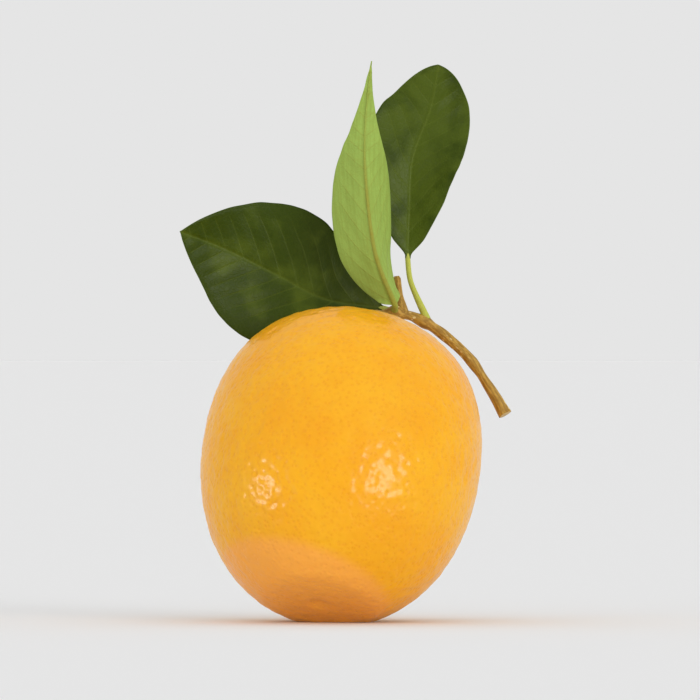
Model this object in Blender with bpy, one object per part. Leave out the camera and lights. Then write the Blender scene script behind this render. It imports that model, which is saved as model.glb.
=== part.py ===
"""Sweet orange as picked: one fruit with its calyx, its bit of twig and three leaves.

Metres, +Z up. The origin is the middle of the small flat spot that the fruit
rests on. The fruit leans: its stem end is up, behind and a little to the right,
and its blossom end faces down and forward (-Y is the front).
"""
import math

import bmesh
import bpy
from mathutils import Matrix, Vector

MM = 0.001

# Fruit
FRUIT_RADIUS = 35.5 * MM        # half the width across the middle
STEM_HALF = 41.6 * MM           # middle to stem end, before the dimple
BLOSSOM_HALF = 41.0 * MM        # middle to blossom end, before it is flattened
STEM_FULLNESS = 0.20            # 0 is an ellipse, more gives a blunter shoulder
BLOSSOM_FULLNESS = 0.09
TAPER = 0.055                   # wider towards the stem, narrower towards the blossom end
BLOSSOM_FLAT = 3.0 * MM         # how much the blossom end is flattened
DIMPLE_DEPTH = 2.2 * MM         # hollow round the stem
DIMPLE_RADIUS = 7.0 * MM
FURROWS = 9                     # soft furrows that run out of the dimple
FURROW_DEPTH = 0.55 * MM
SCAR_RADIUS = 2.2 * MM          # small pit in the middle of the blossom end
SCAR_DEPTH = 0.7 * MM
FRUIT_SIDES = 64
FRUIT_RINGS = 37
LEAN_BACK = 28.0                # degrees between the fruit's axis and upright
LEAN_TO = 73.0                  # compass of the lean, degrees from +X to +Y
FRUIT_MIDDLE = Vector((-0.1, 1.2, 38.4)) * MM

# Calyx
CALYX_LOBES = 5
CALYX_RADIUS = 5.0 * MM
CALYX_WAIST = 3.4 * MM          # radius between two lobes
CALYX_THICK = 1.5 * MM
CALYX_RIM = 0.7 * MM
GAP = 0.35 * MM                 # clearance between pieces that touch

# Twig, from the calyx to its cut end
TWIG_ROUTE = [
    (7.6, 21.8, 78.0), (10.6, 22.8, 78.2), (14.0, 23.9, 78.5), (18.8, 24.8, 77.5),
    (23.6, 24.9, 75.0), (28.7, 24.0, 71.1), (33.4, 22.9, 66.5), (38.2, 21.0, 59.4),
    (42.3, 19.2, 52.5),
]
TWIG_RADIUS = 1.2 * MM
TWIG_SIDES = 10
# Swellings of the twig: place along it, extra radius in mm, spread.
KNUCKLES = [(0.0, 0.6, 0.06), (0.40, 0.75, 0.04), (0.559, 0.6, 0.036), (0.82, 0.3, 0.03),
            (1.0, 0.4, 0.06)]
SPUR_FOOT = Vector((16.6, 24.4, 78.1)) * MM
SPUR_TOP = Vector((14.5, 25.4, 88.0)) * MM
SPUR_RADIUS = 1.15 * MM

# Leaves
BLADE_THICK = 0.7 * MM
PETIOLE_RADIUS = 0.72 * MM
VEIN_RAISE = 0.45 * MM          # the midrib stands out under the blade
NARROW = 4.0 * MM               # a blade narrower than this folds less
BLADE_RINGS = 26
PETIOLE_RINGS = 5
ACROSS = (-1.0, -0.7, -0.38, -0.1, 0.0, 0.1, 0.38, 0.7, 1.0)

# Each leaf: stalk points, midrib points, half width, where it is widest (two
# powers), the direction across the blade at base and tip, the fold of each half in
# degrees at base and tip, and the wave of the edges in mm.
LEAVES = {
    "leaf_1": {
        "stalk": [(12.5, 25.8, 79.2), (11.8, 26.8, 79.5), (11.0, 27.8, 79.8)],
        "midrib": [(11.0, 27.8, 79.8), (-3.6, 33.6, 82.0), (-16.2, 35.0, 88.3),
                   (-29.6, 32.0, 94.9), (-41.1, 26.2, 99.4)],
        "half_width": 18.4, "base_power": 1.18, "tip_power": 1.19,
        "across": [(0.36, 0.0, 0.91), (0.40, 0.06, 0.88)],
        "fold": [(8.0, 8.0), (8.0, 8.0)], "wave": 0.5,
    },
    "leaf_2": {
        "stalk": [(14.0, 21.6, 79.5), (14.0, 20.1, 80.0), (14.0, 18.6, 80.6)],
        "midrib": [(14.0, 18.6, 80.6), (8.8, 15.4, 94.1), (6.4, 14.4, 113.4),
                   (6.4, 14.6, 126.9), (8.0, 16.4, 142.9)],
        "half_width": 12.7, "base_power": 0.97, "tip_power": 2.05,
        "across": [(-0.97, -0.24, -0.28), (-1.0, 0.0, 0.0)],
        "fold": [(74.0, 30.0), (60.0, 40.0)], "wave": 0.4,
    },
    "leaf_3": {
        "stalk": [(21.3, 25.3, 79.1), (19.4, 26.5, 83.2), (17.9, 27.9, 87.4),
                  (17.4, 29.4, 92.6)],
        "midrib": [(17.4, 29.4, 92.6), (17.8, 31.4, 104.8), (18.7, 32.6, 118.4),
                   (23.3, 32.2, 131.4), (25.3, 29.6, 142.4)],
        "half_width": 13.6, "base_power": 1.10, "tip_power": 0.82,
        "across": [(0.97, 0.18, -0.16), (0.96, 0.22, -0.17)],
        "fold": [(9.0, 9.0), (39.0, 39.0)], "wave": 0.5,
    },
}


def clear_scene():
    for thing in list(bpy.data.objects):
        bpy.data.objects.remove(thing, do_unlink=True)


def make_material(name, colour, roughness):
    material = bpy.data.materials.new(name)
    material.use_nodes = True
    shader = material.node_tree.nodes["Principled BSDF"]
    shader.inputs["Base Color"].default_value = (*colour, 1.0)
    shader.inputs["Roughness"].default_value = roughness
    shader.inputs["Metallic"].default_value = 0.0
    return material


def finish_object(name, bm, material, parent, origin=Vector((0.0, 0.0, 0.0))):
    """Turns a bmesh in world coordinates into a named object with its own origin."""
    bmesh.ops.translate(bm, verts=bm.verts, vec=-origin)
    bmesh.ops.recalc_face_normals(bm, faces=bm.faces)
    mesh = bpy.data.meshes.new(name)
    bm.to_mesh(mesh)
    bm.free()
    mesh.materials.append(material)
    mesh.shade_smooth()
    mesh.set_sharp_from_angle(angle=math.radians(50.0))
    thing = bpy.data.objects.new(name, mesh)
    thing.location = origin
    thing.parent = parent
    bpy.context.scene.collection.objects.link(thing)
    return thing


def smooth_step(low, high, value):
    share = min(max((value - low) / (high - low), 0.0), 1.0)
    return share * share * (3.0 - 2.0 * share)


def lean_matrix():
    """The fruit's own frame: Z runs from the blossom end to the stem end."""
    heading = math.radians(LEAN_TO)
    tilt_axis = Vector((-math.sin(heading), math.cos(heading), 0.0))
    turn = Matrix.Rotation(math.radians(LEAN_BACK), 4, tilt_axis)
    return Matrix.Translation(FRUIT_MIDDLE) @ turn


def fruit_point(latitude, turn):
    """A point of the peel in the fruit's frame, for two angles in radians."""
    cosine = max(math.cos(latitude), 0.0)
    sine = math.sin(latitude)
    height = (STEM_HALF if sine >= 0.0 else BLOSSOM_HALF) * sine
    middle = 0.5 * (STEM_FULLNESS + BLOSSOM_FULLNESS)
    fullness = middle + 0.5 * (STEM_FULLNESS - BLOSSOM_FULLNESS) * sine
    radius = FRUIT_RADIUS * cosine * (1.0 + fullness * sine * sine) * (1.0 + TAPER * sine)

    # The blossom end is pressed flat, with a soft rim.
    floor = -(BLOSSOM_HALF - BLOSSOM_FLAT)
    if height < floor + 1.5 * MM:
        depth = floor + 1.5 * MM - height
        height = floor + 1.5 * MM - 1.5 * MM * math.tanh(depth / (1.5 * MM))

    # Gentle lumps, so that the fruit isn't perfectly round.
    swell = 0.35 * math.cos(2.0 * turn + 0.7) + 0.25 * math.cos(3.0 * turn + 2.1 + latitude)
    radius *= 1.0 + 0.012 * swell * math.cos(latitude) ** 2

    if sine > 0.0:
        height -= DIMPLE_DEPTH * math.exp(-(radius / DIMPLE_RADIUS) ** 2)
        groove = 0.5 + 0.5 * math.cos(FURROWS * turn + 0.6 * math.sin(2.0 * turn))
        reach = math.exp(-((radius - 9.0 * MM) / (5.5 * MM)) ** 2)
        height -= FURROW_DEPTH * groove * reach
    else:
        height += SCAR_DEPTH * math.exp(-(radius / SCAR_RADIUS) ** 2)
    return Vector((radius * math.cos(turn), radius * math.sin(turn), height))


def ring_of_points(bm, points):
    return [bm.verts.new(point) for point in points]


def bridge(bm, low, high):
    """Faces between two rings of the same count."""
    count = len(low)
    for index in range(count):
        after = (index + 1) % count
        bm.faces.new((low[index], low[after], high[after], high[index]))


def close_fan(bm, ring, centre):
    tip = bm.verts.new(centre)
    count = len(ring)
    for index in range(count):
        bm.faces.new((ring[index], ring[(index + 1) % count], tip))


def ring_latitude(ring):
    """Rings lie closer together at the two ends, where the form is finer."""
    share = ring / (FRUIT_RINGS - 1)
    return math.radians(-88.6 + 177.2 * share + 7.0 * math.sin(2.0 * math.pi * share))


def make_orange(material, parent):
    bm = bmesh.new()
    rings = []
    for ring in range(FRUIT_RINGS):
        latitude = ring_latitude(ring)
        turns = [2.0 * math.pi * side / FRUIT_SIDES for side in range(FRUIT_SIDES)]
        rings.append(ring_of_points(bm, [fruit_point(latitude, turn) for turn in turns]))
    for low, high in zip(rings, rings[1:]):
        bridge(bm, low, high)
    close_fan(bm, rings[0], fruit_point(-math.pi / 2.0, 0.0))
    close_fan(bm, rings[-1], fruit_point(math.pi / 2.0, 0.0))
    bmesh.ops.transform(bm, matrix=lean_matrix(), verts=bm.verts)

    # The flat spot: everything below the surface is cut off, and the cut closed.
    whole = bm.verts[:] + bm.edges[:] + bm.faces[:]
    cut = bmesh.ops.bisect_plane(
        bm, geom=whole, dist=0.00001, plane_co=(0.0, 0.0, 0.0), plane_no=(0.0, 0.0, -1.0),
        clear_outer=True)
    rim = [item for item in cut["geom_cut"] if isinstance(item, bmesh.types.BMEdge)]
    bmesh.ops.contextual_create(bm, geom=rim)
    return finish_object("orange", bm, material, parent)


def dimple_height(radius, turn):
    """Height of the peel in the fruit's frame at a radius near the stem end."""
    spread = FRUIT_RADIUS * (1.0 + STEM_FULLNESS) * (1.0 + TAPER)
    latitude = math.acos(min(radius / spread, 1.0))
    return fruit_point(latitude, turn).z


def make_calyx(material, parent):
    """A five-pointed star that lies in the hollow round the stem."""
    bm = bmesh.new()
    sides = CALYX_LOBES * 8
    shares = (0.28, 0.55, 0.8, 1.0)
    lower, upper = [], []
    for share in shares:
        under, over = [], []
        for side in range(sides):
            turn = 2.0 * math.pi * side / sides
            point_out = (0.5 + 0.5 * math.cos(CALYX_LOBES * turn)) ** 1.3
            reach = CALYX_WAIST + (CALYX_RADIUS - CALYX_WAIST) * point_out
            radius = share * reach
            base = dimple_height(radius, turn) + GAP
            thick = CALYX_RIM + (CALYX_THICK - CALYX_RIM) * (1.0 - share ** 2)
            flat = Vector((radius * math.cos(turn), radius * math.sin(turn), 0.0))
            under.append(flat + Vector((0.0, 0.0, base)))
            over.append(flat + Vector((0.0, 0.0, base + thick)))
        lower.append(ring_of_points(bm, under))
        upper.append(ring_of_points(bm, over))
    for low, high in zip(lower, lower[1:]):
        bridge(bm, low, high)
    for low, high in zip(upper, upper[1:]):
        bridge(bm, low, high)
    bridge(bm, lower[-1], upper[-1])
    middle = dimple_height(0.0, 0.0) + GAP
    close_fan(bm, lower[0], Vector((0.0, 0.0, middle)))
    close_fan(bm, upper[0], Vector((0.0, 0.0, middle + CALYX_THICK)))
    bmesh.ops.triangulate(bm, faces=bm.faces)
    bmesh.ops.transform(bm, matrix=lean_matrix(), verts=bm.verts)
    return finish_object("calyx", bm, material, parent)


def curve_point(points, share):
    """A smooth curve through the points, at a share of its way."""
    spans = len(points) - 1
    place = min(max(share, 0.0), 1.0) * spans
    index = min(int(place), spans - 1)
    t = place - index
    before = points[max(index - 1, 0)]
    start = points[index]
    end = points[index + 1]
    after = points[min(index + 2, spans)]
    bend = (before * -1.0 + start * 3.0 - end * 3.0 + after) * t ** 3
    swing = (before * 2.0 - start * 5.0 + end * 4.0 - after) * t ** 2
    return (start * 2.0 + (end - before) * t + swing + bend) * 0.5


def curve_direction(points, share):
    step = 0.004
    ahead = curve_point(points, min(share + step, 1.0))
    behind = curve_point(points, max(share - step, 0.0))
    return (ahead - behind).normalized()


def in_metres(points):
    return [Vector(point) * MM for point in points]


def round_tube(bm, points, radius_at, sides, rings):
    """A closed round tube along a curve, with a radius that may change."""
    loops = []
    normal = Vector((0.0, -1.0, 0.0))
    for ring in range(rings):
        share = ring / (rings - 1)
        centre = curve_point(points, share)
        along = curve_direction(points, share)
        normal = (normal - along * normal.dot(along)).normalized()
        side_way = along.cross(normal)
        loop = []
        for side in range(sides):
            turn = 2.0 * math.pi * side / sides
            radius = radius_at(share, turn)
            loop.append(centre + (normal * math.cos(turn) + side_way * math.sin(turn)) * radius)
        loops.append(ring_of_points(bm, loop))
    for low, high in zip(loops, loops[1:]):
        bridge(bm, low, high)
    bm.faces.new(loops[0])
    bm.faces.new(loops[-1])


def twig_radius(share, turn):
    """Woody thickness: swollen at its knuckles and slightly uneven."""
    radius = TWIG_RADIUS
    for place, extra, spread in KNUCKLES:
        radius += extra * MM * math.exp(-((share - place) / spread) ** 2)
    uneven = 0.10 * math.sin(23.0 * share + 2.0 * turn) + 0.06 * math.sin(51.0 * share)
    return radius + uneven * MM


def spur_radius(share, turn):
    return SPUR_RADIUS * (1.0 - 0.32 * share + 0.05 * math.sin(9.0 * share + turn))


def make_twig(material, parent):
    lean = lean_matrix()
    foot = dimple_height(0.0, 0.0) + GAP + CALYX_THICK + GAP
    start = lean @ Vector((0.0, 0.0, foot))
    collar = lean @ Vector((0.0, 0.0, foot + 2.2 * MM))
    route = [start, collar] + in_metres(TWIG_ROUTE)
    bm = bmesh.new()
    round_tube(bm, route, twig_radius, TWIG_SIDES, 40)
    twig = finish_object("twig", bm, material, parent)

    # The spur is the stub of an old side shoot, joined to the twig as one body.
    bm = bmesh.new()
    middle = (SPUR_FOOT + SPUR_TOP) * 0.5 + Vector((-0.5, 0.3, 0.0)) * MM
    round_tube(bm, [SPUR_FOOT, middle, SPUR_TOP], spur_radius, 8, 8)
    spur = finish_object("spur_shape", bm, material, parent)
    join = twig.modifiers.new("join_spur", 'BOOLEAN')
    join.operation = 'UNION'
    join.solver = 'EXACT'
    join.object = spur
    bpy.context.view_layer.update()
    evaluated = twig.evaluated_get(bpy.context.evaluated_depsgraph_get())
    joined = bpy.data.meshes.new_from_object(evaluated)
    twig.modifiers.clear()
    twig.data = joined
    bpy.data.objects.remove(spur, do_unlink=True)
    return twig


def blade_half_width(leaf, share):
    """Half the width of a blade at a share of its length, from base to tip."""
    base, tip = leaf["base_power"], leaf["tip_power"]
    peak = base / (base + tip)
    highest = peak ** base * (1.0 - peak) ** tip
    width = leaf["half_width"] * MM * share ** base * (1.0 - share) ** tip / highest
    width *= smooth_step(-0.04, 0.12, share)
    narrow = 0.8 * MM * (1.0 - 0.45 * share)
    return math.hypot(width, narrow)


def leaf_ring(bm, centre, along, across, half, round_share, fold, wave):
    """One cross-section: round in the stalk, a thin folded plate in the blade."""
    up = across.cross(along).normalized()
    top, under = [], []
    last = len(ACROSS) - 1
    for index, place in enumerate(ACROSS):
        angle = math.pi * (1.0 - (index + 0.5) / (last + 1))
        stalk = Vector((math.cos(angle), math.sin(angle))) * PETIOLE_RADIUS
        tilt = math.radians(fold[0] if place < 0.0 else fold[1])
        out = abs(half * place)
        side = math.copysign(1.0, place)
        middle = Vector((side * out * math.cos(tilt), out * math.sin(tilt)))
        middle.y += wave * place * place
        # Half the thickness, square to the blade, or straight up at the midrib.
        thick = Vector((-side * math.sin(tilt), math.cos(tilt))) * (0.5 * BLADE_THICK)
        raised = Vector((0.0, 0.0))
        if place == 0.0:
            steep = math.cos(math.radians(0.5 * (fold[0] + fold[1])))
            thick = Vector((0.0, 0.5 * BLADE_THICK / steep))
            raised = Vector((0.0, VEIN_RAISE))
        high = stalk.lerp(middle + thick, 1.0 - round_share)
        low = Vector((stalk.x, -stalk.y)).lerp(middle - thick - raised, 1.0 - round_share)
        top.append(centre + across * high.x + up * high.y)
        under.append(centre + across * low.x + up * low.y)
    return ring_of_points(bm, top), ring_of_points(bm, under)


def skin(bm, low, high, flip):
    """Two triangles for each cell, split the same way on both faces of a blade."""
    for index in range(len(low) - 1):
        a, b = low[index], low[index + 1]
        c, d = high[index + 1], high[index]
        corners = ((a, b, c), (a, c, d))
        for corner in corners:
            bm.faces.new(corner[::-1] if flip else corner)


def make_leaf(name, material, parent):
    leaf = LEAVES[name]
    stalk = in_metres(leaf["stalk"])
    midrib = in_metres(leaf["midrib"])
    start_across = Vector(leaf["across"][0]).normalized()
    end_across = Vector(leaf["across"][1]).normalized()
    bm = bmesh.new()
    tops, unders = [], []
    stations = [(stalk, ring / PETIOLE_RINGS, -1.0) for ring in range(PETIOLE_RINGS)]
    for ring in range(BLADE_RINGS):
        share = ring / (BLADE_RINGS - 1)
        share = 0.5 * share + 0.5 * (0.5 - 0.5 * math.cos(math.pi * share))
        stations.append((midrib, share, share))
    for route, place, blade_share in stations:
        centre = curve_point(route, place)
        along = curve_direction(route, place)
        if blade_share < 0.0:
            half, round_share, across, opened = PETIOLE_RADIUS, 1.0, start_across, 0.0
        else:
            half = blade_half_width(leaf, blade_share)
            round_share = 1.0 - smooth_step(0.0, 0.10, blade_share)
            across = start_across.lerp(end_across, blade_share)
            opened = smooth_step(-0.04, 0.12, blade_share)
        across = (across - along * across.dot(along)).normalized()
        share = max(blade_share, 0.0)
        opened *= min(half / NARROW, 1.0)
        fold = [(base + (tip - base) * share) * opened for base, tip in leaf["fold"]]
        edge = min(half / (leaf["half_width"] * MM), 1.0)
        wave = leaf["wave"] * MM * edge * math.sin(14.0 * share + 0.8)
        top, under = leaf_ring(bm, centre, along, across, half, round_share, fold, wave)
        tops.append(top)
        unders.append(under)
    for ring in range(len(tops) - 1):
        skin(bm, tops[ring], tops[ring + 1], False)
        skin(bm, unders[ring], unders[ring + 1], True)
        skin(bm, [unders[ring][0], tops[ring][0]], [unders[ring + 1][0], tops[ring + 1][0]], False)
        skin(bm, [tops[ring][-1], unders[ring][-1]], [tops[ring + 1][-1], unders[ring + 1][-1]], False)
    bm.faces.new(tops[0] + unders[0][::-1])
    bm.faces.new(tops[-1][::-1] + unders[-1])
    bmesh.ops.triangulate(bm, faces=[face for face in bm.faces if len(face.verts) > 4])
    return finish_object(name, bm, material, parent, origin=stalk[0].copy())


def main():
    clear_scene()
    holder = bpy.data.objects.new("sweet_orange", None)
    bpy.context.scene.collection.objects.link(holder)
    peel = make_material("peel", (0.90, 0.42, 0.05), 0.42)
    star = make_material("calyx_green", (0.30, 0.27, 0.09), 0.70)
    bark = make_material("bark", (0.42, 0.22, 0.06), 0.80)
    dark = make_material("leaf_dark", (0.045, 0.10, 0.015), 0.40)
    light = make_material("leaf_light", (0.28, 0.45, 0.09), 0.55)
    make_orange(peel, holder)
    make_calyx(star, holder)
    make_twig(bark, holder)
    make_leaf("leaf_1", dark, holder)
    make_leaf("leaf_2", light, holder)
    make_leaf("leaf_3", dark.copy(), holder)


main()
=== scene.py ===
# %% [markdown]
# # A sweet orange, as picked
#
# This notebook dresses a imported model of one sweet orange, with its calyx, its
# bit of woody twig and three leaves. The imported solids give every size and
# place. Each cell below makes one finer piece that stands for one of them, or
# one of the finishes. Lengths are in metres, Z is up, and -Y is the front.

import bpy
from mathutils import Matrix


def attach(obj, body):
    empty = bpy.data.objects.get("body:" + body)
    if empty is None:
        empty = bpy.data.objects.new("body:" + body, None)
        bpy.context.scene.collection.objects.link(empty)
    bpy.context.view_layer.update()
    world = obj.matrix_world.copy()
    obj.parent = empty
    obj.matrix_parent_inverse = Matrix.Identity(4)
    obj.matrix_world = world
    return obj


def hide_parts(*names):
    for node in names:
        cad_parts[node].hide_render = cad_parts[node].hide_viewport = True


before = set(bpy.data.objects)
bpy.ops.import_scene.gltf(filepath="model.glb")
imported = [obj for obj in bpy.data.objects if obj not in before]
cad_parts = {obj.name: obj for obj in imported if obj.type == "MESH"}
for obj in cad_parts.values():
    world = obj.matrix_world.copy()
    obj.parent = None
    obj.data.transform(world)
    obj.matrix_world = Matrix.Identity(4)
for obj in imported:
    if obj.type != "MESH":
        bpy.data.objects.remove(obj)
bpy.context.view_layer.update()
print("pieces in the frame:", sorted(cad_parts))

# %% Tools of the workshop
import math

import bmesh
import bpy
import numpy as np
from mathutils import Matrix, Vector, noise

MM = 0.001


def linear(red, green, blue):
    """A colour as a picture shows it (0 to 255) as the linear light that Blender mixes."""
    shares = [part / 255.0 for part in (red, green, blue)]
    return tuple(s / 12.92 if s < 0.04045 else ((s + 0.055) / 1.055) ** 2.4 for s in shares)


# %% [markdown]
# ## Writing materials as sums
#
# A material in Blender is a graph of nodes. Drawing it by hand is quick for one
# finish and tiresome for five. So a node's output is wrapped in a small class
# here, and the signs + - * / on it add Math nodes. What has no sign, such as a
# noise or a colour mix, is made by one method that takes the node's type, its
# settings and its inputs. The sky is a graph too, so it is written the same way.


# %% A wire, whose sums add nodes
class Wire:
    """One output of a node. Arithmetic on it adds Math nodes to the same graph."""

    def __init__(self, graph, socket):
        self.graph = graph
        self.socket = socket

    def math(self, operation, *others):
        values = dict(enumerate((self,) + others))
        return self.graph.node("ShaderNodeMath", {"operation": operation}, values)

    def __add__(self, other):
        return self.math("ADD", other)

    __radd__ = __add__

    def __mul__(self, other):
        return self.math("MULTIPLY", other)

    __rmul__ = __mul__

    def __sub__(self, other):
        return self.math("SUBTRACT", other)

    def __rsub__(self, other):
        return self * -1.0 + other

    def __truediv__(self, other):
        return self.math("DIVIDE", other)

    def __rtruediv__(self, other):
        return self.math("POWER", -1.0) * other

    def size(self):
        return self.math("ABSOLUTE")

    def bell(self, width):
        """1 where the value is 0, falling away softly over the width."""
        return (self * self * (-1.0 / (width * width))).math("EXPONENT")

    def step(self, low, high):
        """0 below low, 1 above high, smooth between."""
        settings = {"interpolation_type": "SMOOTHSTEP"}
        limits = {"Value": self, "From Min": low, "From Max": high}
        return self.graph.node("ShaderNodeMapRange", settings, limits)


# %% A graph, and a look for a surface
class Graph:
    """A tree of nodes, with the one method that adds to it."""

    def __init__(self, tree):
        self.tree = tree

    def node(self, kind, settings=None, inputs=None, output=0):
        made = self.tree.nodes.new(kind)
        for name, value in (settings or {}).items():
            setattr(made, name, value)
        for name, value in (inputs or {}).items():
            if isinstance(name, int):
                socket = made.inputs[name]
            else:
                socket = next(s for s in made.inputs if s.enabled and s.name == name)
            self.feed(socket, value)
        if isinstance(output, str):
            return Wire(self, made.outputs[output])
        live = [s for s in made.outputs if s.enabled]
        return Wire(self, live[output])

    def feed(self, socket, value):
        if isinstance(value, Wire):
            self.tree.links.new(value.socket, socket)
        elif isinstance(value, tuple) and len(value) == 3 and socket.type == "RGBA":
            socket.default_value = (*value, 1.0)
        else:
            socket.default_value = value


class Look(Graph):
    """A material with one Principled shader, and the means to feed its sockets."""

    def __init__(self, name):
        self.material = bpy.data.materials.new(name)
        self.material.use_nodes = True
        super().__init__(self.material.node_tree)
        self.shader = self.tree.nodes["Principled BSDF"]

    def set(self, **sockets):
        for name, value in sockets.items():
            title = name.replace("_", " ").title().replace("Ior", "IOR")
            self.feed(self.shader.inputs[title], value)

    def place(self, per_metre):
        """Object coordinates, scaled so that a pattern of size 1 fits that length."""
        where = self.node("ShaderNodeTexCoord", output="Object")
        scale = {"Vector": where, "Scale": (per_metre,) * 3}
        return self.node("ShaderNodeMapping", {"vector_type": "POINT"}, scale)

    def value(self, name):
        """A number that every point of the mesh carries."""
        return self.node("ShaderNodeAttribute", {"attribute_name": name}, output="Fac")

    def vector(self, name, stretch=(1.0, 1.0, 1.0)):
        """A place that every point of the mesh carries, in millimetres."""
        own = self.node("ShaderNodeAttribute", {"attribute_name": name}, output="Vector")
        scale = {"Vector": own, "Scale": stretch}
        return self.node("ShaderNodeMapping", {"vector_type": "POINT"}, scale)

    def noise(self, vector, scale, detail=3.0, rough=0.5):
        inputs = {"Vector": vector, "Scale": scale, "Detail": detail, "Roughness": rough}
        return self.node("ShaderNodeTexNoise", {}, inputs)

    def cells(self, vector, scale, feature="F1", even=0.9):
        inputs = {"Vector": vector, "Scale": scale, "Randomness": even}
        return self.node("ShaderNodeTexVoronoi", {"feature": feature}, inputs)

    def mix(self, first, second, share):
        settings = {"data_type": "RGBA", "blend_type": "MIX"}
        return self.node("ShaderNodeMix", settings, {"Factor": share, "A": first, "B": second})

    def relief(self, height, distance):
        inputs = {"Strength": 1.0, "Distance": distance, "Height": height}
        return self.node("ShaderNodeBump", {}, inputs)


print("materials can be written as sums")

# %% [markdown]
# ## The peel's finish
#
# Orange peel is a waxy skin over thousands of oil glands. Each gland is a small
# pit, about a millimetre from the next, and that breaks up a highlight into
# many small sparks. The colour is a warm yellow-orange that deepens in the pits
# and keeps a trace of green round the calyx. At the flattened blossom end it is
# painted duller and pinker: that is painted shade of the end that faces down,
# with a painted reflection that dulls it. The pits come from a cell pattern,
# since nature also packs the glands as cells. A clear coat stands for the wax.

# %% Peel material
PIT_SPACING = 1.15 * MM
PEEL_LIGHT = linear(243, 177, 18)
PEEL_DEEP = linear(240, 163, 4)
PEEL_PIT = linear(228, 124, 1)
# Painted shade with a painted reflection: the duller, pinker colour put on the down-facing blossom end.
PEEL_BLOSSOM_SHADE = linear(246, 166, 66)
PEEL_GREEN = linear(150, 140, 40)
PIT_WIDTH = 0.34
PIT_DEPTH = 0.13 * MM
LIGHT_REACH = 2.5 * MM
LIGHT_SPREAD = (1.0, 0.45, 0.12)


def peel_look():
    look = Look("peel")
    fine = look.place(1.0 / PIT_SPACING)
    wide = look.place(1.0 / (24.0 * MM))
    wander = look.noise(wide, 1.0, 2.0)
    gland = look.cells(fine, 1.0)
    pit = gland.bell(PIT_WIDTH)
    grain = look.noise(fine, 3.1, 2.0)

    patch = (look.noise(fine, 0.16, 3.0) * 0.6 + wander).step(0.45, 1.15)
    colour = look.mix(PEEL_LIGHT, PEEL_DEEP, patch)
    colour = look.mix(colour, PEEL_PIT, pit * 0.20)
    # Painted shade: the down-facing blossom end is painted duller and pinker.
    colour = look.mix(colour, PEEL_BLOSSOM_SHADE, look.value("blossom_shade") * 0.85)
    colour = look.mix(colour, PEEL_GREEN, look.value("stem") * 0.42)

    pitted = look.relief(pit * -1.0 + grain * 0.14, PIT_DEPTH)
    look.set(base_color=colour, normal=pitted, roughness=pit * 0.16 + grain * 0.10 + 0.30)
    look.set(coat_weight=0.43, coat_roughness=0.20, specular_ior_level=0.10)
    look.set(subsurface_weight=0.05, subsurface_radius=LIGHT_SPREAD, subsurface_scale=LIGHT_REACH)
    return look.material


peel_material = peel_look()
print("peel: glands every", PIT_SPACING / MM, "mm")

# %% [markdown]
# ## The bark's finish
#
# The twig is young wood with a thin golden-brown bark: cracks that run along
# it, cream-coloured specks where it breathes, and darker wood in the hollows.
# The pattern has to follow the twig round its bend, so every point of the twig
# carries its own place along and round it, and the material reads that.

# %% Bark material
BARK_GOLD = linear(194, 152, 58)
BARK_DARK = linear(140, 102, 30)
BARK_PALE = linear(226, 200, 132)
WOOD_CUT = linear(206, 178, 120)
BARK_RELIEF = 0.16 * MM


def bark_look():
    look = Look("bark")
    along = look.vector("bark_mm", (0.35, 1.0, 1.0))
    fibre = look.noise(along, 1.5, 4.0, 0.6)
    crack = fibre.step(0.38, 0.62)
    lumps = look.noise(look.vector("bark_mm"), 0.8, 3.0)
    speck = look.cells(look.vector("bark_mm", (0.62, 0.95, 0.95)), 1.0)
    chosen = look.noise(look.vector("bark_mm"), 0.33, 1.0).step(0.46, 0.60)
    pale = (1.0 - speck.step(0.16, 0.30)) * chosen
    colour = look.mix(BARK_DARK, BARK_GOLD, crack * 0.75 + lumps * 0.35)
    colour = look.mix(colour, BARK_PALE, pale * 0.9)
    colour = look.mix(colour, WOOD_CUT, look.value("cut"))
    rough = look.relief(crack * 0.6 + pale * 0.9 + lumps * 0.6, BARK_RELIEF)
    look.set(base_color=colour, normal=rough, roughness=0.72 - crack * 0.12)
    return look.material


bark_material = bark_look()
print("bark: pale specks on gold, over dark cracks")

# %% [markdown]
# ## The calyx's finish
#
# The calyx is what is left of the flower's green cup. On a ripe fruit it is
# dry: brown-green in the middle, browner and paler at the five tips, with fine
# wrinkles that run out from the stem.

# %% Calyx material
CALYX_GREEN = linear(120, 124, 52)
CALYX_BROWN = linear(150, 112, 62)
CALYX_RELIEF = 0.18 * MM


def calyx_look():
    look = Look("calyx")
    mottle = look.noise(look.place(1.0 / (1.4 * MM)), 1.0, 4.0, 0.6)
    dry = look.value("tip").step(0.35, 1.0) + mottle.step(0.5, 0.75) * 0.45
    colour = look.mix(CALYX_GREEN, CALYX_BROWN, dry)
    rough = look.relief(mottle, CALYX_RELIEF)
    look.set(base_color=colour, normal=rough, roughness=0.62 + mottle * 0.2)
    return look.material


calyx_material = calyx_look()
print("calyx: green in the middle, brown at the tips")

# %% [markdown]
# ## The leaves' finish
#
# A citrus leaf is two leaves in one: a dark, waxy upper side and a pale, matt
# underside. The midrib runs down the middle, side veins leave it at a slant and
# fade before the margin, and a fine net fills the rest. Each point of a leaf
# carries its place on the flat leaf in millimetres, so the veins can be drawn
# with sums, as on paper, and bend with the blade. More values tell the upper
# side from the underside, mark the stalk and the margin, and say how old the
# leaf is, because an older leaf is darker.

# %% Leaf material
VEIN_SPACING = 5.2
VEIN_SLANT = 0.85
VEIN_BOW = 0.012
NET_SIZE = 1.3
LEAF_RELIEF = 0.10 * MM


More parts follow.
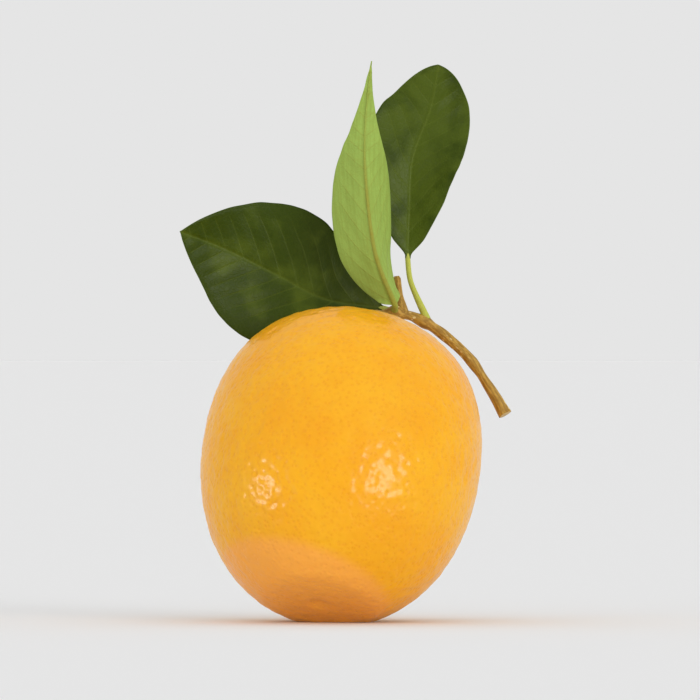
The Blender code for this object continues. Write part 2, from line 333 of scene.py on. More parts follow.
def leaf_look(name, upper, upper_deep, upper_vein, under, under_vein, stalk):
    look = Look(name)
    flat = look.vector("leaf_mm")
    length = look.node("ShaderNodeSeparateXYZ", {}, {"Vector": flat}, "X")
    across = look.node("ShaderNodeSeparateXYZ", {}, {"Vector": flat}, "Y").size()
    margin = look.value("margin")
    below = look.value("under")
    stem = look.value("stalk")

    slanted = (length - across * VEIN_SLANT - across * across * VEIN_BOW) / VEIN_SPACING
    nearest = (slanted.math("FRACT") - 0.5).size() * VEIN_SPACING
    side_vein = nearest.bell(0.24) * (1.0 - margin.step(0.55, 0.95))
    midrib = across.bell(0.42)
    net = 1.0 - look.cells(flat, 1.0 / NET_SIZE, "DISTANCE_TO_EDGE").step(0.0, 0.14)
    veins = (side_vein * 0.65 + midrib).math("MINIMUM", 1.0)
    fading = midrib * (1.0 - length.step(20.0, 46.0) * 0.7)
    streak = look.noise(look.vector("leaf_mm", (0.10, 1.1, 1.0)), 1.0, 2.0).step(0.40, 0.62)

    cloud = look.noise(flat, 0.11, 3.0)
    # Deep green: the clouds and the age are the leaf's own tone; the rise toward the margin is painted
    # shade, a darker rim beside the sheen-lit middle of the blade.
    deep_tone_and_rim_shade = (cloud + margin * 0.22 + look.value("age") * 0.2).step(0.52, 0.88)
    top = look.mix(upper, upper_deep, deep_tone_and_rim_shade)
    top = look.mix(top, upper_vein, veins * 0.31 + net * 0.04)
    bottom = look.mix(under, upper_vein, streak * 0.32)
    bottom = look.mix(bottom, under_vein, side_vein * 0.24 + fading * 0.75 + net * 0.12)
    colour = look.mix(top, bottom, below)
    colour = look.mix(colour, stalk, stem)

    fine = look.noise(flat, 3.4, 2.0)
    height = (below * 2.0 - 1.0) * (veins * 0.8 + net * 0.22) + fine * 0.25
    look.set(base_color=colour, normal=look.relief(height, LEAF_RELIEF))
    look.set(roughness=0.30 + below * 0.26 + cloud * 0.12 + net * 0.05)
    look.set(specular_ior_level=0.10)
    return look.material


leaf_dark_material = leaf_look(
    "leaf_dark",
    upper=linear(76, 91, 22), upper_deep=linear(52, 67, 8), upper_vein=linear(98, 112, 40),
    under=linear(130, 152, 70), under_vein=linear(160, 172, 98), stalk=linear(184, 188, 84))
leaf_light_material = leaf_look(
    "leaf_light",
    upper=linear(92, 122, 34), upper_deep=linear(76, 104, 24), upper_vein=linear(134, 150, 62),
    under=linear(152, 179, 84), under_vein=linear(146, 140, 56), stalk=linear(156, 162, 66))
print("two leaf finishes, side veins every", VEIN_SPACING, "mm")

# %% [markdown]
# ## The form of the fruit
#
# The fruit is a little longer than it is wide, broad at the shoulder, narrower
# towards the blossom end, and pressed flat there. These numbers and sums are
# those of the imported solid, so that the fine skin lies on it. In the fruit's
# own frame, Z runs from the blossom end to the stem end; one matrix then leans
# it back as it rests.

# %% Fruit form
FRUIT_RADIUS = 35.5 * MM
STEM_HALF = 41.6 * MM
BLOSSOM_HALF = 41.0 * MM
STEM_FULLNESS = 0.20
BLOSSOM_FULLNESS = 0.09
TAPER = 0.055
BLOSSOM_FLAT = 3.0 * MM
FLAT_RIM = 1.5 * MM
DIMPLE_DEPTH = 2.2 * MM
DIMPLE_RADIUS = 7.0 * MM
FURROWS = 9
FURROW_DEPTH = 0.55 * MM
SCAR_RADIUS = 2.2 * MM
SCAR_DEPTH = 0.7 * MM
LEAN_BACK = math.radians(28.0)
LEAN_TO = math.radians(73.0)
FRUIT_MIDDLE = Vector((-0.1, 1.2, 38.4)) * MM

lean_axis = Vector((-math.sin(LEAN_TO), math.cos(LEAN_TO), 0.0))
LEAN = Matrix.Translation(FRUIT_MIDDLE) @ Matrix.Rotation(LEAN_BACK, 4, lean_axis)


def fruit_form(latitude, turn):
    """Points of the smooth fruit in its own frame, for arrays of two angles."""
    sine, cosine = np.sin(latitude), np.cos(latitude)
    height = np.where(sine >= 0.0, STEM_HALF, BLOSSOM_HALF) * sine
    middle = 0.5 * (STEM_FULLNESS + BLOSSOM_FULLNESS)
    fullness = middle + 0.5 * (STEM_FULLNESS - BLOSSOM_FULLNESS) * sine
    radius = FRUIT_RADIUS * cosine * (1.0 + fullness * sine ** 2) * (1.0 + TAPER * sine)
    rim = -(BLOSSOM_HALF - BLOSSOM_FLAT) + FLAT_RIM
    pressed = rim - FLAT_RIM * np.tanh((rim - height) / FLAT_RIM)
    height = np.where(height < rim, pressed, height)
    swell = 0.35 * np.cos(2.0 * turn + 0.7) + 0.25 * np.cos(3.0 * turn + 2.1 + latitude)
    radius = radius * (1.0 + 0.012 * swell * cosine ** 2)
    groove = 0.5 + 0.5 * np.cos(FURROWS * turn + 0.6 * np.sin(2.0 * turn))
    reach = np.exp(-((radius - 9.0 * MM) / (5.5 * MM)) ** 2)
    dip = DIMPLE_DEPTH * np.exp(-(radius / DIMPLE_RADIUS) ** 2) + FURROW_DEPTH * groove * reach
    scar = SCAR_DEPTH * np.exp(-(radius / SCAR_RADIUS) ** 2)
    height = height + np.where(sine > 0.0, -dip, scar)
    return np.stack([radius * np.cos(turn), radius * np.sin(turn), height], axis=-1)


def dimple_height(radius, turn):
    """Height of the fruit in its own frame at a radius near the stem end."""
    spread = FRUIT_RADIUS * (1.0 + STEM_FULLNESS) * (1.0 + TAPER)
    latitude = math.acos(min(radius / spread, 1.0))
    return float(fruit_form(np.array(latitude), np.array(turn))[2])


# %% [markdown]
# ## The skin
#
# A ball of quads with even faces takes fine relief best, because its faces are
# as small at the ends as in the middle. So a cube is divided and blown up to a
# ball, and each of its points is then moved to the fruit's form. A soft noise
# makes the skin swell, and a cell noise presses in the larger dents that real
# peel has between its glands. Whatever would sink below the table is pressed
# flat: that is the small spot that the fruit rests on.

# %% Skin of the fruit
SKIN_CUTS = 121
DENT_SPACING = 2.0 * MM
DENT_DEPTH = 0.19 * MM
SWELL = 0.17 * MM
# Where the painted blossom shade lies: the way toward the down-facing end, how far out it starts, and
# how soft its edge is.
BLOSSOM_SHADE_WAY = np.array((-0.30, -0.43, -0.85))
BLOSSOM_SHADE_EDGE = 32.3 * MM
BLOSSOM_SHADE_BLEND = 2.8 * MM


def mesh_from(bm, name):
    """Turns a bmesh into a mesh with its faces pointing outwards."""
    bmesh.ops.recalc_face_normals(bm, faces=bm.faces)
    mesh = bpy.data.meshes.new(name)
    bm.to_mesh(mesh)
    bm.free()
    return mesh


def read_points(mesh):
    flat = np.empty(len(mesh.vertices) * 3)
    mesh.vertices.foreach_get("co", flat)
    return flat.reshape(-1, 3)


def write_points(mesh, points):
    mesh.vertices.foreach_set("co", np.asarray(points, float).ravel())
    mesh.update()


def add_value(mesh, name, values):
    layer = mesh.attributes.new(name, "FLOAT", "POINT")
    layer.data.foreach_set("value", np.asarray(values, float).ravel())


def move_all(points, matrix):
    turned = np.array(matrix.to_3x3())
    return points @ turned.T + np.array(matrix.translation)


def dress(name, mesh, material, node):
    """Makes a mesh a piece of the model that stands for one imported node."""
    mesh.materials.append(material)
    mesh.shade_smooth()
    piece = bpy.data.objects.new(name, mesh)
    bpy.context.scene.collection.objects.link(piece)
    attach(piece, "root")
    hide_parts(node)
    print(name, "stands for", node, "with", len(mesh.polygons), "faces")


def make_skin():
    ball = bmesh.new()
    bmesh.ops.create_cube(ball, size=2.0)
    bmesh.ops.subdivide_edges(ball, edges=ball.edges[:], cuts=SKIN_CUTS, use_grid_fill=True)
    mesh = mesh_from(ball, "peel_skin")
    cube = read_points(mesh)
    even = np.tan(cube * (math.pi / 4.0))
    ball_points = even / np.linalg.norm(even, axis=1, keepdims=True)
    latitude = np.arcsin(np.clip(ball_points[:, 2], -1.0, 1.0))
    turn = np.arctan2(ball_points[:, 1], ball_points[:, 0])
    form = fruit_form(latitude, turn)

    relief = np.empty(len(form))
    for index, point in enumerate(form):
        place = Vector(point)
        near = noise.voronoi(place / DENT_SPACING)[0][0]
        soft = noise.noise(place / (1.3 * DENT_SPACING))
        relief[index] = SWELL * (soft - 1.0) - DENT_DEPTH * math.exp(-(near / 0.36) ** 2)
    radius = np.hypot(form[:, 0], form[:, 1])
    calm = 1.0 - 0.7 * np.exp(-(radius / (9.0 * MM)) ** 2)
    form = form + ball_points * (relief * calm)[:, None]

    points = move_all(form, LEAN)
    points[:, 2] = np.maximum(points[:, 2], 0.0)
    write_points(mesh, points)
    # Painted shade: a mask that rises toward the down-facing blossom end, stored for the peel's colour.
    ahead = (points - np.array(FRUIT_MIDDLE)) @ BLOSSOM_SHADE_WAY
    blossom_shade = np.clip((ahead - BLOSSOM_SHADE_EDGE) / BLOSSOM_SHADE_BLEND + 0.5, 0.0, 1.0)
    stem = np.exp(-(radius / (5.5 * MM)) ** 2) * (form[:, 2] > 0.0)
    add_value(mesh, "blossom_shade", blossom_shade * blossom_shade * (3.0 - 2.0 * blossom_shade))
    add_value(mesh, "stem", stem)
    dress("peel_skin", mesh, peel_material, "orange")


make_skin()

# %% [markdown]
# ## Curves to build along
#
# The twig and the leaves all follow a smooth curve through a few points. The
# curve and its direction come from one small function each, so that the same
# route serves for the wood, for the stalks and for the midribs.

# %% Curves


def in_metres(points):
    return [Vector(point) * MM for point in points]


def curve_point(points, share):
    """A smooth curve through the points, at a share of its way."""
    spans = len(points) - 1
    place = min(max(share, 0.0), 1.0) * spans
    index = min(int(place), spans - 1)
    t = place - index
    before, start = points[max(index - 1, 0)], points[index]
    end, after = points[index + 1], points[min(index + 2, spans)]
    bend = (before * -1.0 + start * 3.0 - end * 3.0 + after) * t ** 3
    swing = (before * 2.0 - start * 5.0 + end * 4.0 - after) * t ** 2
    return (start * 2.0 + (end - before) * t + swing + bend) * 0.5


def curve_direction(points, share, step=0.004):
    ahead = curve_point(points, min(share + step, 1.0))
    behind = curve_point(points, max(share - step, 0.0))
    return (ahead - behind).normalized()


def curve_length(points, pieces=200):
    places = [curve_point(points, i / pieces) for i in range(pieces + 1)]
    return sum((b - a).length for a, b in zip(places, places[1:]))


def grow_tube(bm, points, radius_at, sides, rings):
    """Grows a round shoot: a circle is extruded ring by ring along the curve.

    Gives back, for each ring, its vertices in order and its place along the curve.
    """
    grown = []
    latest = set()
    normal = Vector((0.0, -1.0, 0.0))
    ring = bmesh.ops.create_circle(bm, cap_ends=False, segments=sides, radius=1.0)["verts"]
    for count in range(rings):
        share = count / (rings - 1)
        if count:
            edges = [edge for edge in bm.edges if set(edge.verts) <= latest]
            extruded = bmesh.ops.extrude_edge_only(bm, edges=edges)["geom"]
            fresh = [item for item in extruded if isinstance(item, bmesh.types.BMVert)]
            ring = order_like(ring, fresh)
        latest = set(ring)
        centre = curve_point(points, share)
        along = curve_direction(points, share)
        normal = (normal - along * normal.dot(along)).normalized()
        side_way = along.cross(normal)
        for side, vert in enumerate(ring):
            turn = 2.0 * math.pi * side / sides
            spoke = normal * math.cos(turn) + side_way * math.sin(turn)
            vert.co = centre + spoke * radius_at(share, turn)
        grown.append((ring, share))
    return grown


def order_like(ring, fresh):
    """The new vertices in the order of the ring that they were extruded from."""
    twins = set(fresh)
    ordered = []
    for vert in ring:
        partner = next(e.other_vert(vert) for e in vert.link_edges if e.other_vert(vert) in twins)
        ordered.append(partner)
    return ordered


# %% [markdown]
# ## The twig
#
# The twig leaves the calyx, swells at each knuckle where a leaf or shoot sits,
# bends over the fruit's shoulder and ends in a clean cut. It is a circle that
# is extruded ring by ring along the route, with its radius changed as it goes.
# Fine ridges and warts are part of the mesh, because bark is rough in outline
# too. The spur is a second, shorter shoot whose foot is sunk in the wood.

# %% Twig
GAP = 0.35 * MM
CALYX_THICK = 1.5 * MM
TWIG_ROUTE = [
    (7.6, 21.8, 78.0), (10.6, 22.8, 78.2), (14.0, 23.9, 78.5), (18.8, 24.8, 77.5),
    (23.6, 24.9, 75.0), (28.7, 24.0, 71.1), (33.4, 22.9, 66.5), (38.2, 21.0, 59.4),
    (42.3, 19.2, 52.5),
]
TWIG_RADIUS = 1.2 * MM
TWIG_SIDES = 40
TWIG_RINGS = 260
SPUR_SIDES = 24
SPUR_RINGS = 60
KNUCKLES = [(0.0, 0.6, 0.06), (0.40, 0.75, 0.04), (0.559, 0.6, 0.036), (0.82, 0.3, 0.03),
            (1.0, 0.4, 0.06)]
SPUR_FOOT = Vector((16.6, 24.4, 78.1)) * MM
SPUR_TOP = Vector((14.5, 25.4, 88.0)) * MM
SPUR_RADIUS = 1.15 * MM
SPUR_LENGTH = 9.6 * MM
SPUR_BOW = Vector((-0.5, 0.3, 0.0)) * MM
SPUR_PATTERN_START = 40.0
COLLAR = 2.2 * MM
RIDGE_HEIGHT = 0.16
WART_HEIGHT = 0.22

foot_height = dimple_height(0.0, 0.0) + GAP + CALYX_THICK + GAP
twig_start = LEAN @ Vector((0.0, 0.0, foot_height))
twig_collar = LEAN @ Vector((0.0, 0.0, foot_height + COLLAR))
twig_points = [twig_start, twig_collar] + in_metres(TWIG_ROUTE)
twig_length = curve_length(twig_points)


def bark_bump(along, turn, radius):
    """Extra radius of the bark at a place along and round the wood."""
    place = Vector((along * 0.22, math.cos(turn) * radius, math.sin(turn) * radius)) / MM
    ridge = noise.noise(place * 1.6)
    wart = noise.noise(place * 0.75 + Vector((7.0, 3.0, 1.0)))
    return (RIDGE_HEIGHT * ridge + WART_HEIGHT * max(wart - 0.15, 0.0)) * MM


def twig_radius(share, turn):
    radius = TWIG_RADIUS
    for place, extra, spread in KNUCKLES:
        radius += extra * MM * math.exp(-((share - place) / spread) ** 2)
    uneven = 0.10 * math.sin(23.0 * share + 2.0 * turn) + 0.06 * math.sin(51.0 * share)
    return radius + uneven * MM + bark_bump(share * twig_length, turn, radius)


def spur_radius(share, turn):
    radius = SPUR_RADIUS * (1.05 - 0.20 * share + 0.05 * math.sin(9.0 * share + turn))
    radius *= 1.0 - 0.35 * max(share - 0.9, 0.0) / 0.1
    return radius + bark_bump(share * SPUR_LENGTH, turn, radius) * 0.6


def cap_shoot(bm, ring, marks, inward):
    """Closes an end with rings that step inwards, as a cut shows rind and wood."""
    centre = sum((vert.co for vert in ring), Vector()) / len(ring)
    face = bm.faces.new(ring)
    for share, sink in ((0.86, 0.02), (0.55, 0.05), (0.2, 0.03)):
        bmesh.ops.inset_individual(bm, faces=[face], thickness=0.0)
        for vert in face.verts:
            vert.co = centre + (vert.co - centre).normalized() * TWIG_RADIUS * share + inward * sink * MM
            vert[marks] = 1.0


def make_twig():
    bm = bmesh.new()
    along_mark = bm.verts.layers.float_vector.new("bark_mm")
    cut_mark = bm.verts.layers.float.new("cut")
    middle = (SPUR_FOOT + SPUR_TOP) * 0.5 + SPUR_BOW
    spur_points = [SPUR_FOOT, middle, SPUR_TOP]
    shoots = [
        (twig_points, twig_radius, TWIG_SIDES, TWIG_RINGS, twig_length, 0.0),
        (spur_points, spur_radius, SPUR_SIDES, SPUR_RINGS, SPUR_LENGTH, SPUR_PATTERN_START),
    ]
    for route, radius_at, sides, rings, length, offset in shoots:
        grown = grow_tube(bm, route, radius_at, sides, rings)
        for ring, share in grown:
            for side, vert in enumerate(ring):
                turn = 2.0 * math.pi * side / sides
                round_it = (1.5 * math.cos(turn), 1.5 * math.sin(turn))
                vert[along_mark] = Vector((share * length / MM + offset, *round_it))
        bm.faces.new(grown[0][0])
        if route is twig_points:
            cap_shoot(bm, grown[-1][0], cut_mark, -curve_direction(route, 1.0))
        else:
            bm.faces.new(grown[-1][0])
    dress("twig_wood", mesh_from(bm, "twig_wood"), bark_material, "twig")


make_twig()
print("twig:", round(twig_length / MM, 1), "mm along its middle")

# %% [markdown]
# ## The calyx
#
# A disc of rings is drawn out into five lobes, laid on the floor of the dimple,
# and given its thickness by a second, higher layer. Wrinkles run out from the
# middle, and the tips lift a little from the peel, as dry tips do.

# %% Calyx
CALYX_LOBES = 5
CALYX_RADIUS = 5.0 * MM
CALYX_WAIST = 3.4 * MM
CALYX_RIM = 0.7 * MM
CALYX_SIDES = 120
CALYX_RINGS = 22


def calyx_place(share, turn, over):
    point_out = (0.5 + 0.5 * math.cos(CALYX_LOBES * turn)) ** 1.3
    reach = CALYX_WAIST + (CALYX_RADIUS - CALYX_WAIST) * point_out
    radius = share * reach
    height = dimple_height(radius, turn) + GAP
    if over:
        height += CALYX_RIM * 0.75 + (CALYX_THICK - CALYX_RIM) * (1.0 - share ** 2)
        wrinkle = math.sin(23.0 * turn + 3.0 * math.sin(2.0 * turn)) * share * (1.0 - share)
        height += (0.16 * wrinkle - 0.25 * share ** 6) * MM
    height += 0.35 * MM * point_out * share ** 4
    return Vector((radius * math.cos(turn), radius * math.sin(turn), height))


def make_calyx():
    bm = bmesh.new()
    tip_mark = bm.verts.layers.float.new("tip")
    layers = []
    for over in (False, True):
        bmesh.ops.create_circle(bm, cap_ends=True, segments=CALYX_SIDES, radius=1.0)
        fresh = [face for face in bm.faces if len(face.verts) == CALYX_SIDES][-1]
        rings = [list(fresh.verts)]
        for _ in range(CALYX_RINGS - 1):
            bmesh.ops.inset_individual(bm, faces=[fresh], thickness=0.001)
            rings.append(order_like(rings[-1], list(fresh.verts)))
        for count, ring in enumerate(rings):
            share = 1.0 - count / (CALYX_RINGS - 0.6)
            for side, vert in enumerate(ring):
                turn = 2.0 * math.pi * side / CALYX_SIDES
                vert.co = LEAN @ calyx_place(share, turn, over)
                vert[tip_mark] = share
        layers.append(rings[0])
    rims = set(layers[0]) | set(layers[1])
    border = [e for e in bm.edges if len(e.link_faces) == 1 and set(e.verts) <= rims]
    bmesh.ops.bridge_loops(bm, edges=border)
    dress("calyx_star", mesh_from(bm, "calyx_star"), calyx_material, "calyx")


make_calyx()

# %% [markdown]
# ## The leaves
#
# Each leaf is first made flat, as a pressed leaf: a grid is squeezed to the
# leaf's outline and given its thickness, and its flat place is kept on every
# point for the veins. Then the flat leaf is bent: every point moves to its
# place along the midrib's curve, the halves fold up along the midrib, and the
# margin waves. The stalk and the midrib are one thin shoot that runs under the
# blade and thins out towards the tip, as in a real leaf.

# %% Leaf shapes
BLADE_THICK = 0.55 * MM
PETIOLE_RADIUS = 0.72 * MM
SUNK = 2.6 * MM
NARROW = 2.0 * MM
GRID_ALONG = 150
GRID_ACROSS = 64
STALK_SIDES = 16
STALK_RINGS = 150
RAGGED_EDGE = 0.22 * MM
SOFT_FOLD = 1.2 * MM

LEAVES = {
    "leaf_1": {
        "stalk": [(12.5, 25.8, 79.2), (11.8, 26.8, 79.5), (11.0, 27.8, 79.8)],
        "midrib": [(11.0, 27.8, 79.8), (-3.6, 33.6, 82.0), (-16.2, 35.0, 88.3),
                   (-29.6, 32.0, 94.9), (-41.1, 26.2, 99.4)],
        "half_width": 18.4, "base_power": 1.18, "tip_power": 1.19, "shoulder": 0.03, "age": 1.0,
        "across": [(0.36, 0.0, 0.91), (0.40, 0.06, 0.88)],
        "fold": [(8.0, 8.0), (8.0, 8.0)], "wave": 0.5,
        "material": leaf_dark_material, "slot": "leaf_dark",
    },
    "leaf_2": {
        "stalk": [(14.0, 21.6, 79.5), (14.0, 20.1, 80.0), (14.0, 18.6, 80.6)],
        "midrib": [(14.0, 18.6, 80.6), (8.8, 15.4, 94.1), (6.4, 14.4, 113.4),
                   (6.4, 14.6, 126.9), (8.0, 16.4, 142.9)],
        "half_width": 12.7, "base_power": 0.97, "tip_power": 2.05, "shoulder": 0.05, "age": 0.5,
        "across": [(-0.97, -0.24, -0.28), (-1.0, 0.0, 0.0)],
        "fold": [(74.0, 30.0), (60.0, 40.0)], "wave": 0.4,
        "material": leaf_light_material, "slot": "leaf_light",
    },
    "leaf_3": {
        "stalk": [(21.3, 25.3, 79.1), (19.4, 26.5, 83.2), (17.9, 27.9, 87.4),
                  (17.4, 29.4, 92.6)],
        "midrib": [(17.4, 29.4, 92.6), (17.8, 31.4, 104.8), (18.7, 32.6, 118.4),
                   (23.3, 32.2, 131.4), (25.3, 29.6, 142.4)],
        "half_width": 13.6, "base_power": 1.10, "tip_power": 0.82, "shoulder": 0.12, "age": 0.0,
        "across": [(0.97, 0.18, -0.16), (0.96, 0.22, -0.17)],
        "fold": [(9.0, 9.0), (39.0, 39.0)], "wave": 0.5,
        "material": leaf_dark_material, "slot": "leaf_dark",
    },
}


def smooth_step(low, high, value):
    share = min(max((value - low) / (high - low), 0.0), 1.0)
    return share * share * (3.0 - 2.0 * share)


def blade_half_width(leaf, share):
    """Half the width of a blade at a share of its length, from base to tip."""
    base, tip = leaf["base_power"], leaf["tip_power"]
    peak = base / (base + tip)
    highest = peak ** base * (1.0 - peak) ** tip
    width = leaf["half_width"] * MM * share ** base * max(1.0 - share, 0.0) ** tip / highest
    width *= smooth_step(-0.04, leaf["shoulder"], share)
    narrow = 0.7 * MM * (1.0 - 0.45 * share) * (1.0 - 0.7 * smooth_step(0.93, 1.0, share))
    return math.hypot(width, narrow)


# %% Bending a leaf
class Bend:
    """Carries a point of the flat leaf to its place on the bent one."""

    def __init__(self, leaf):
        self.leaf = leaf
        self.midrib = in_metres(leaf["midrib"])
        self.start = Vector(leaf["across"][0]).normalized()
        self.end = Vector(leaf["across"][1]).normalized()

    def frame_at(self, share):
        along = curve_direction(self.midrib, share)
        across = self.start.lerp(self.end, share)
        across = (across - along * across.dot(along)).normalized()
        return curve_point(self.midrib, share), across, across.cross(along).normalized()

    def point(self, share, side, height):
        """share runs along the leaf, side is the way across in metres, with its sign."""
        centre, across, up = self.frame_at(share)
        half = blade_half_width(self.leaf, share)
        opened = smooth_step(-0.04, 0.07, share) * (1.0 - math.exp(-half / NARROW))
        at_base, at_tip = self.leaf["fold"][0 if side < 0.0 else 1]
        tilt = math.radians((at_base + (at_tip - at_base) * share) * opened)
        away = math.hypot(side, SOFT_FOLD) - SOFT_FOLD
        sign = math.copysign(1.0, side)
        edge = min(half / (self.leaf["half_width"] * MM), 1.0)
        place = side / half
        wave = self.leaf["wave"] * MM * edge * math.sin(14.0 * share + 0.8) * place * place
        level = away * math.sin(tilt) + wave
        out = sign * (abs(side) - away) + sign * away * math.cos(tilt)
        lean = tilt * away / (abs(side) + 0.3 * MM)
        normal = up * math.cos(lean) - across * (sign * math.sin(lean))
        return centre + across * out + up * level + normal * height


# %% The flat leaf, and its bending
def vein_relief(along_mm, side_mm, half_mm):
    """How far the blade puffs up between its side veins, in millimetres."""
    slanted = (along_mm - abs(side_mm) * VEIN_SLANT - side_mm ** 2 * VEIN_BOW) / VEIN_SPACING
    swell = math.cos(2.0 * math.pi * slanted) * 0.07
    rim = abs(side_mm) / half_mm
    fade = smooth_step(0.05, 0.25, rim) * (1.0 - smooth_step(0.6, 0.98, rim))
    groove = -0.16 * math.exp(-(side_mm / 0.55) ** 2)
    return swell * fade + groove


def lay_flat_blade(bm, leaf, length, marks):
    """A grid, squeezed to the leaf's outline and given its thickness. It keeps its flat place."""
    bmesh.ops.create_grid(bm, x_segments=GRID_ALONG, y_segments=GRID_ACROSS, size=1.0)
    for vert in bm.verts:
        share = 0.5 + 0.5 * vert.co.x
        share = 0.6 * share + 0.4 * (0.5 - 0.5 * math.cos(math.pi * share))
        half = blade_half_width(leaf, share)
        ragged = noise.noise(Vector((share * length / MM * 0.3, vert.co.y * 2.0, 0.0)))
        half += RAGGED_EDGE * ragged * smooth_step(0.1, 0.3, share)
        side = math.copysign(abs(vert.co.y) ** 1.1, vert.co.y)
        vert[marks["margin"]] = abs(side)
        vert.co = Vector((share, side * half, 0.0))
        vert[marks["leaf_mm"]] = Vector((share * length / MM, side * half / MM, 0.0))
    top = set(bm.verts)
    bmesh.ops.solidify(bm, geom=bm.faces[:], thickness=BLADE_THICK)
    for vert in bm.verts:
        if vert not in top:
            vert[marks["under"]] = 1.0


def bend_blade(bm, bend, length, marks):
    """Moves every point of the flat blade to its place on the bent one."""
    for vert in bm.verts:
        along_mm, side_mm, _ = vert[marks["leaf_mm"]]
        share = along_mm * MM / length
        half_mm = blade_half_width(bend.leaf, share) / MM
        thin = 1.0 - 0.55 * smooth_step(0.85, 1.0, vert[marks["margin"]])
        level = (-0.5 if vert[marks["under"]] else 0.5) * BLADE_THICK * thin
        puff = vein_relief(along_mm, side_mm, half_mm) * MM * smooth_step(0.0, 0.15, share)
        vert.co = bend.point(share, side_mm * MM, level + puff)


# %% Stalk and midrib
RIB_POINTS = 13
RIB_REACH = 0.94
RIB_START = 0.20
RIB_DROP = 0.42


def stalk_route(leaf, bend):
    """The stalk's points and those under the midrib, and the share where they join."""
    ribs = []
    for count in range(RIB_POINTS):
        share = count / (RIB_POINTS - 1) * RIB_REACH
        centre, _, up = bend.frame_at(share)
        ribs.append(centre - up * (RIB_START + RIB_DROP * smooth_step(0.0, 0.09, share)) * MM)
    stalk = in_metres(leaf["stalk"])
    route = stalk[:-1] + ribs
    route[0] = route[0] + (route[0] - route[1]).normalized() * SUNK
    return route, (len(stalk) - 1) / (len(route) - 1)


def grow_stalk(bm, leaf, bend, length, marks):
    """One shoot, from the wood to the leaf's tip, that thins out as it goes."""
    route, joint = stalk_route(leaf, bend)

    def shoot_radius(share, _turn):
        on_blade = smooth_step(joint, 1.0, share)
        swollen = 0.40 * math.exp(-(share / 0.06) ** 2)
        return PETIOLE_RADIUS * (0.92 + swollen) * (1.0 - 0.82 * on_blade ** 0.6) + 0.02 * MM

    grown = grow_tube(bm, route, shoot_radius, STALK_SIDES, STALK_RINGS)
    for ring, share in grown:
        for vert in ring:
            vert[marks["stalk"]] = 1.0 - 0.8 * smooth_step(joint - 0.02, joint + 0.10, share)
            vert[marks["under"]] = 1.0
            vert[marks["leaf_mm"]] = Vector(((share - joint) * length / MM, 0.0, 0.0))
    bm.faces.new(grown[0][0])
    bm.faces.new(grown[-1][0])


# %% The three leaves
def make_leaf(name, leaf):
    bend = Bend(leaf)
    length = curve_length(bend.midrib)
    bm = bmesh.new()
    marks = {"leaf_mm": bm.verts.layers.float_vector.new("leaf_mm")}
    for mark in ("under", "margin", "stalk"):
        marks[mark] = bm.verts.layers.float.new(mark)
    lay_flat_blade(bm, leaf, length, marks)
    bend_blade(bm, bend, length, marks)
    grow_stalk(bm, leaf, bend, length, marks)
    mesh = mesh_from(bm, name + "_blade")
    add_value(mesh, "age", np.full(len(mesh.vertices), leaf["age"]))
    stalk_length = curve_length(in_metres(leaf["stalk"]))
    print(name, "blade", round(length / MM, 1), "mm, stalk", round(stalk_length / MM, 1), "mm")
    dress(name + "_blade", mesh, leaf["material"], name)


for name, leaf in LEAVES.items():
    make_leaf(name, leaf)

# %% [markdown]
# ## Table, light and camera
#
# The photograph has a plain pale grey ground and very even light, with two
# lamps in front whose reflections show on the peel. A wide matt floor gives the
# ground. Above it stands a sky that the camera and the reflections see as
# bright as the lit floor, so no edge shows, but that lights as a dim room. The
# even light comes from five very wide lamps that leave no reflection, as large
# white cloths would. Two smaller lamps make the two highlights. The camera
# looks level from the front, from far enough to be nearly parallel.

# %% Floor and sky
GROUND = linear(229, 229, 229)[0]
ROOM_LIGHT = 0.24
FLOOR_SHADE = 0.86
FLOOR_SIZE = 60.0
FLOOR_DROP = 0.05 * MM


def make_floor():
    bm = bmesh.new()
    bmesh.ops.create_circle(bm, cap_ends=True, segments=96, radius=FLOOR_SIZE)
    bmesh.ops.translate(bm, verts=bm.verts, vec=(0.0, 0.0, -FLOOR_DROP))
    mesh = mesh_from(bm, "floor")
    look = Look("floor")
    look.set(base_color=(FLOOR_SHADE,) * 3, roughness=1.0, specular_ior_level=0.0)
    mesh.materials.append(look.material)
    floor = bpy.data.objects.new("floor", mesh)
    bpy.context.scene.collection.objects.link(floor)


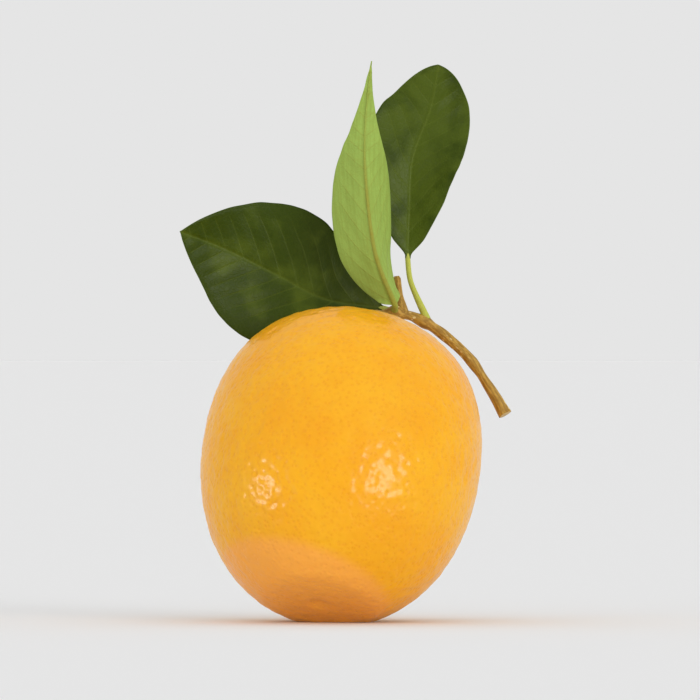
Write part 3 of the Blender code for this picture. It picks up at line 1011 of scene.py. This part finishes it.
def make_sky():
    """A sky that shows as the plain ground, also in reflections, and lights as a dim room."""
    world = bpy.data.worlds.new("studio")
    bpy.context.scene.world = world
    world.use_nodes = True
    graph = Graph(world.node_tree)
    to_camera = graph.node("ShaderNodeLightPath", output="Is Camera Ray")
    to_gloss = graph.node("ShaderNodeLightPath", output="Is Glossy Ray")
    strength = (to_camera + to_gloss) * (GROUND - ROOM_LIGHT) + ROOM_LIGHT
    background = graph.tree.nodes["Background"]
    graph.feed(background.inputs["Color"], (1.0, 1.0, 1.0))
    graph.feed(background.inputs["Strength"], strength)


make_floor()
make_sky()
print("ground at", round(GROUND, 3), "of full white")


# %% Lamps
CLOTH_WIDTH = 120.0


def add_sun(name, toward, strength, spread, shows=False):
    """A lamp far away in the direction toward, as wide as spread in degrees."""
    lamp = bpy.data.lights.new(name, "SUN")
    lamp.energy = strength
    lamp.angle = math.radians(spread)
    holder = bpy.data.objects.new(name, lamp)
    holder.rotation_euler = Vector(toward).to_track_quat("Z", "Y").to_euler()
    holder.visible_glossy = shows
    bpy.context.scene.collection.objects.link(holder)


add_sun("lamp_left", (-0.90, -0.43, -0.02), 1.45, 18.5, shows=True)
add_sun("lamp_right", (0.62, -0.78, 0.06), 1.75, 28.5, shows=True)
add_sun("cloth_top", (0.0, -0.15, 1.0), 1.38, CLOTH_WIDTH)
add_sun("cloth_front", (-0.1, -1.0, 0.0), 0.30, CLOTH_WIDTH)
add_sun("cloth_right", (0.95, -0.35, 0.1), 0.42, CLOTH_WIDTH)
add_sun("cloth_left", (-0.95, -0.3, 0.1), 0.08, CLOTH_WIDTH)
add_sun("cloth_back", (-0.2, 1.0, 0.30), 0.80, CLOTH_WIDTH)

# %% Camera
DISTANCE = 2.4
VIEW_HEIGHT = 178.0 * MM
AIM = Vector((2.5, 0.0, 69.0)) * MM

camera_data = bpy.data.cameras.new("camera")
camera_data.sensor_width = 36.0
camera_data.lens = 36.0 * DISTANCE / VIEW_HEIGHT
camera = bpy.data.objects.new("camera", camera_data)
camera.location = AIM + Vector((0.0, -DISTANCE, 0.0))
camera.rotation_euler = (math.radians(90.0), 0.0, 0.0)
bpy.context.scene.collection.objects.link(camera)
bpy.context.scene.camera = camera
bpy.context.scene.view_settings.view_transform = "Standard"
print("camera lens", round(camera_data.lens), "mm at", DISTANCE, "m")
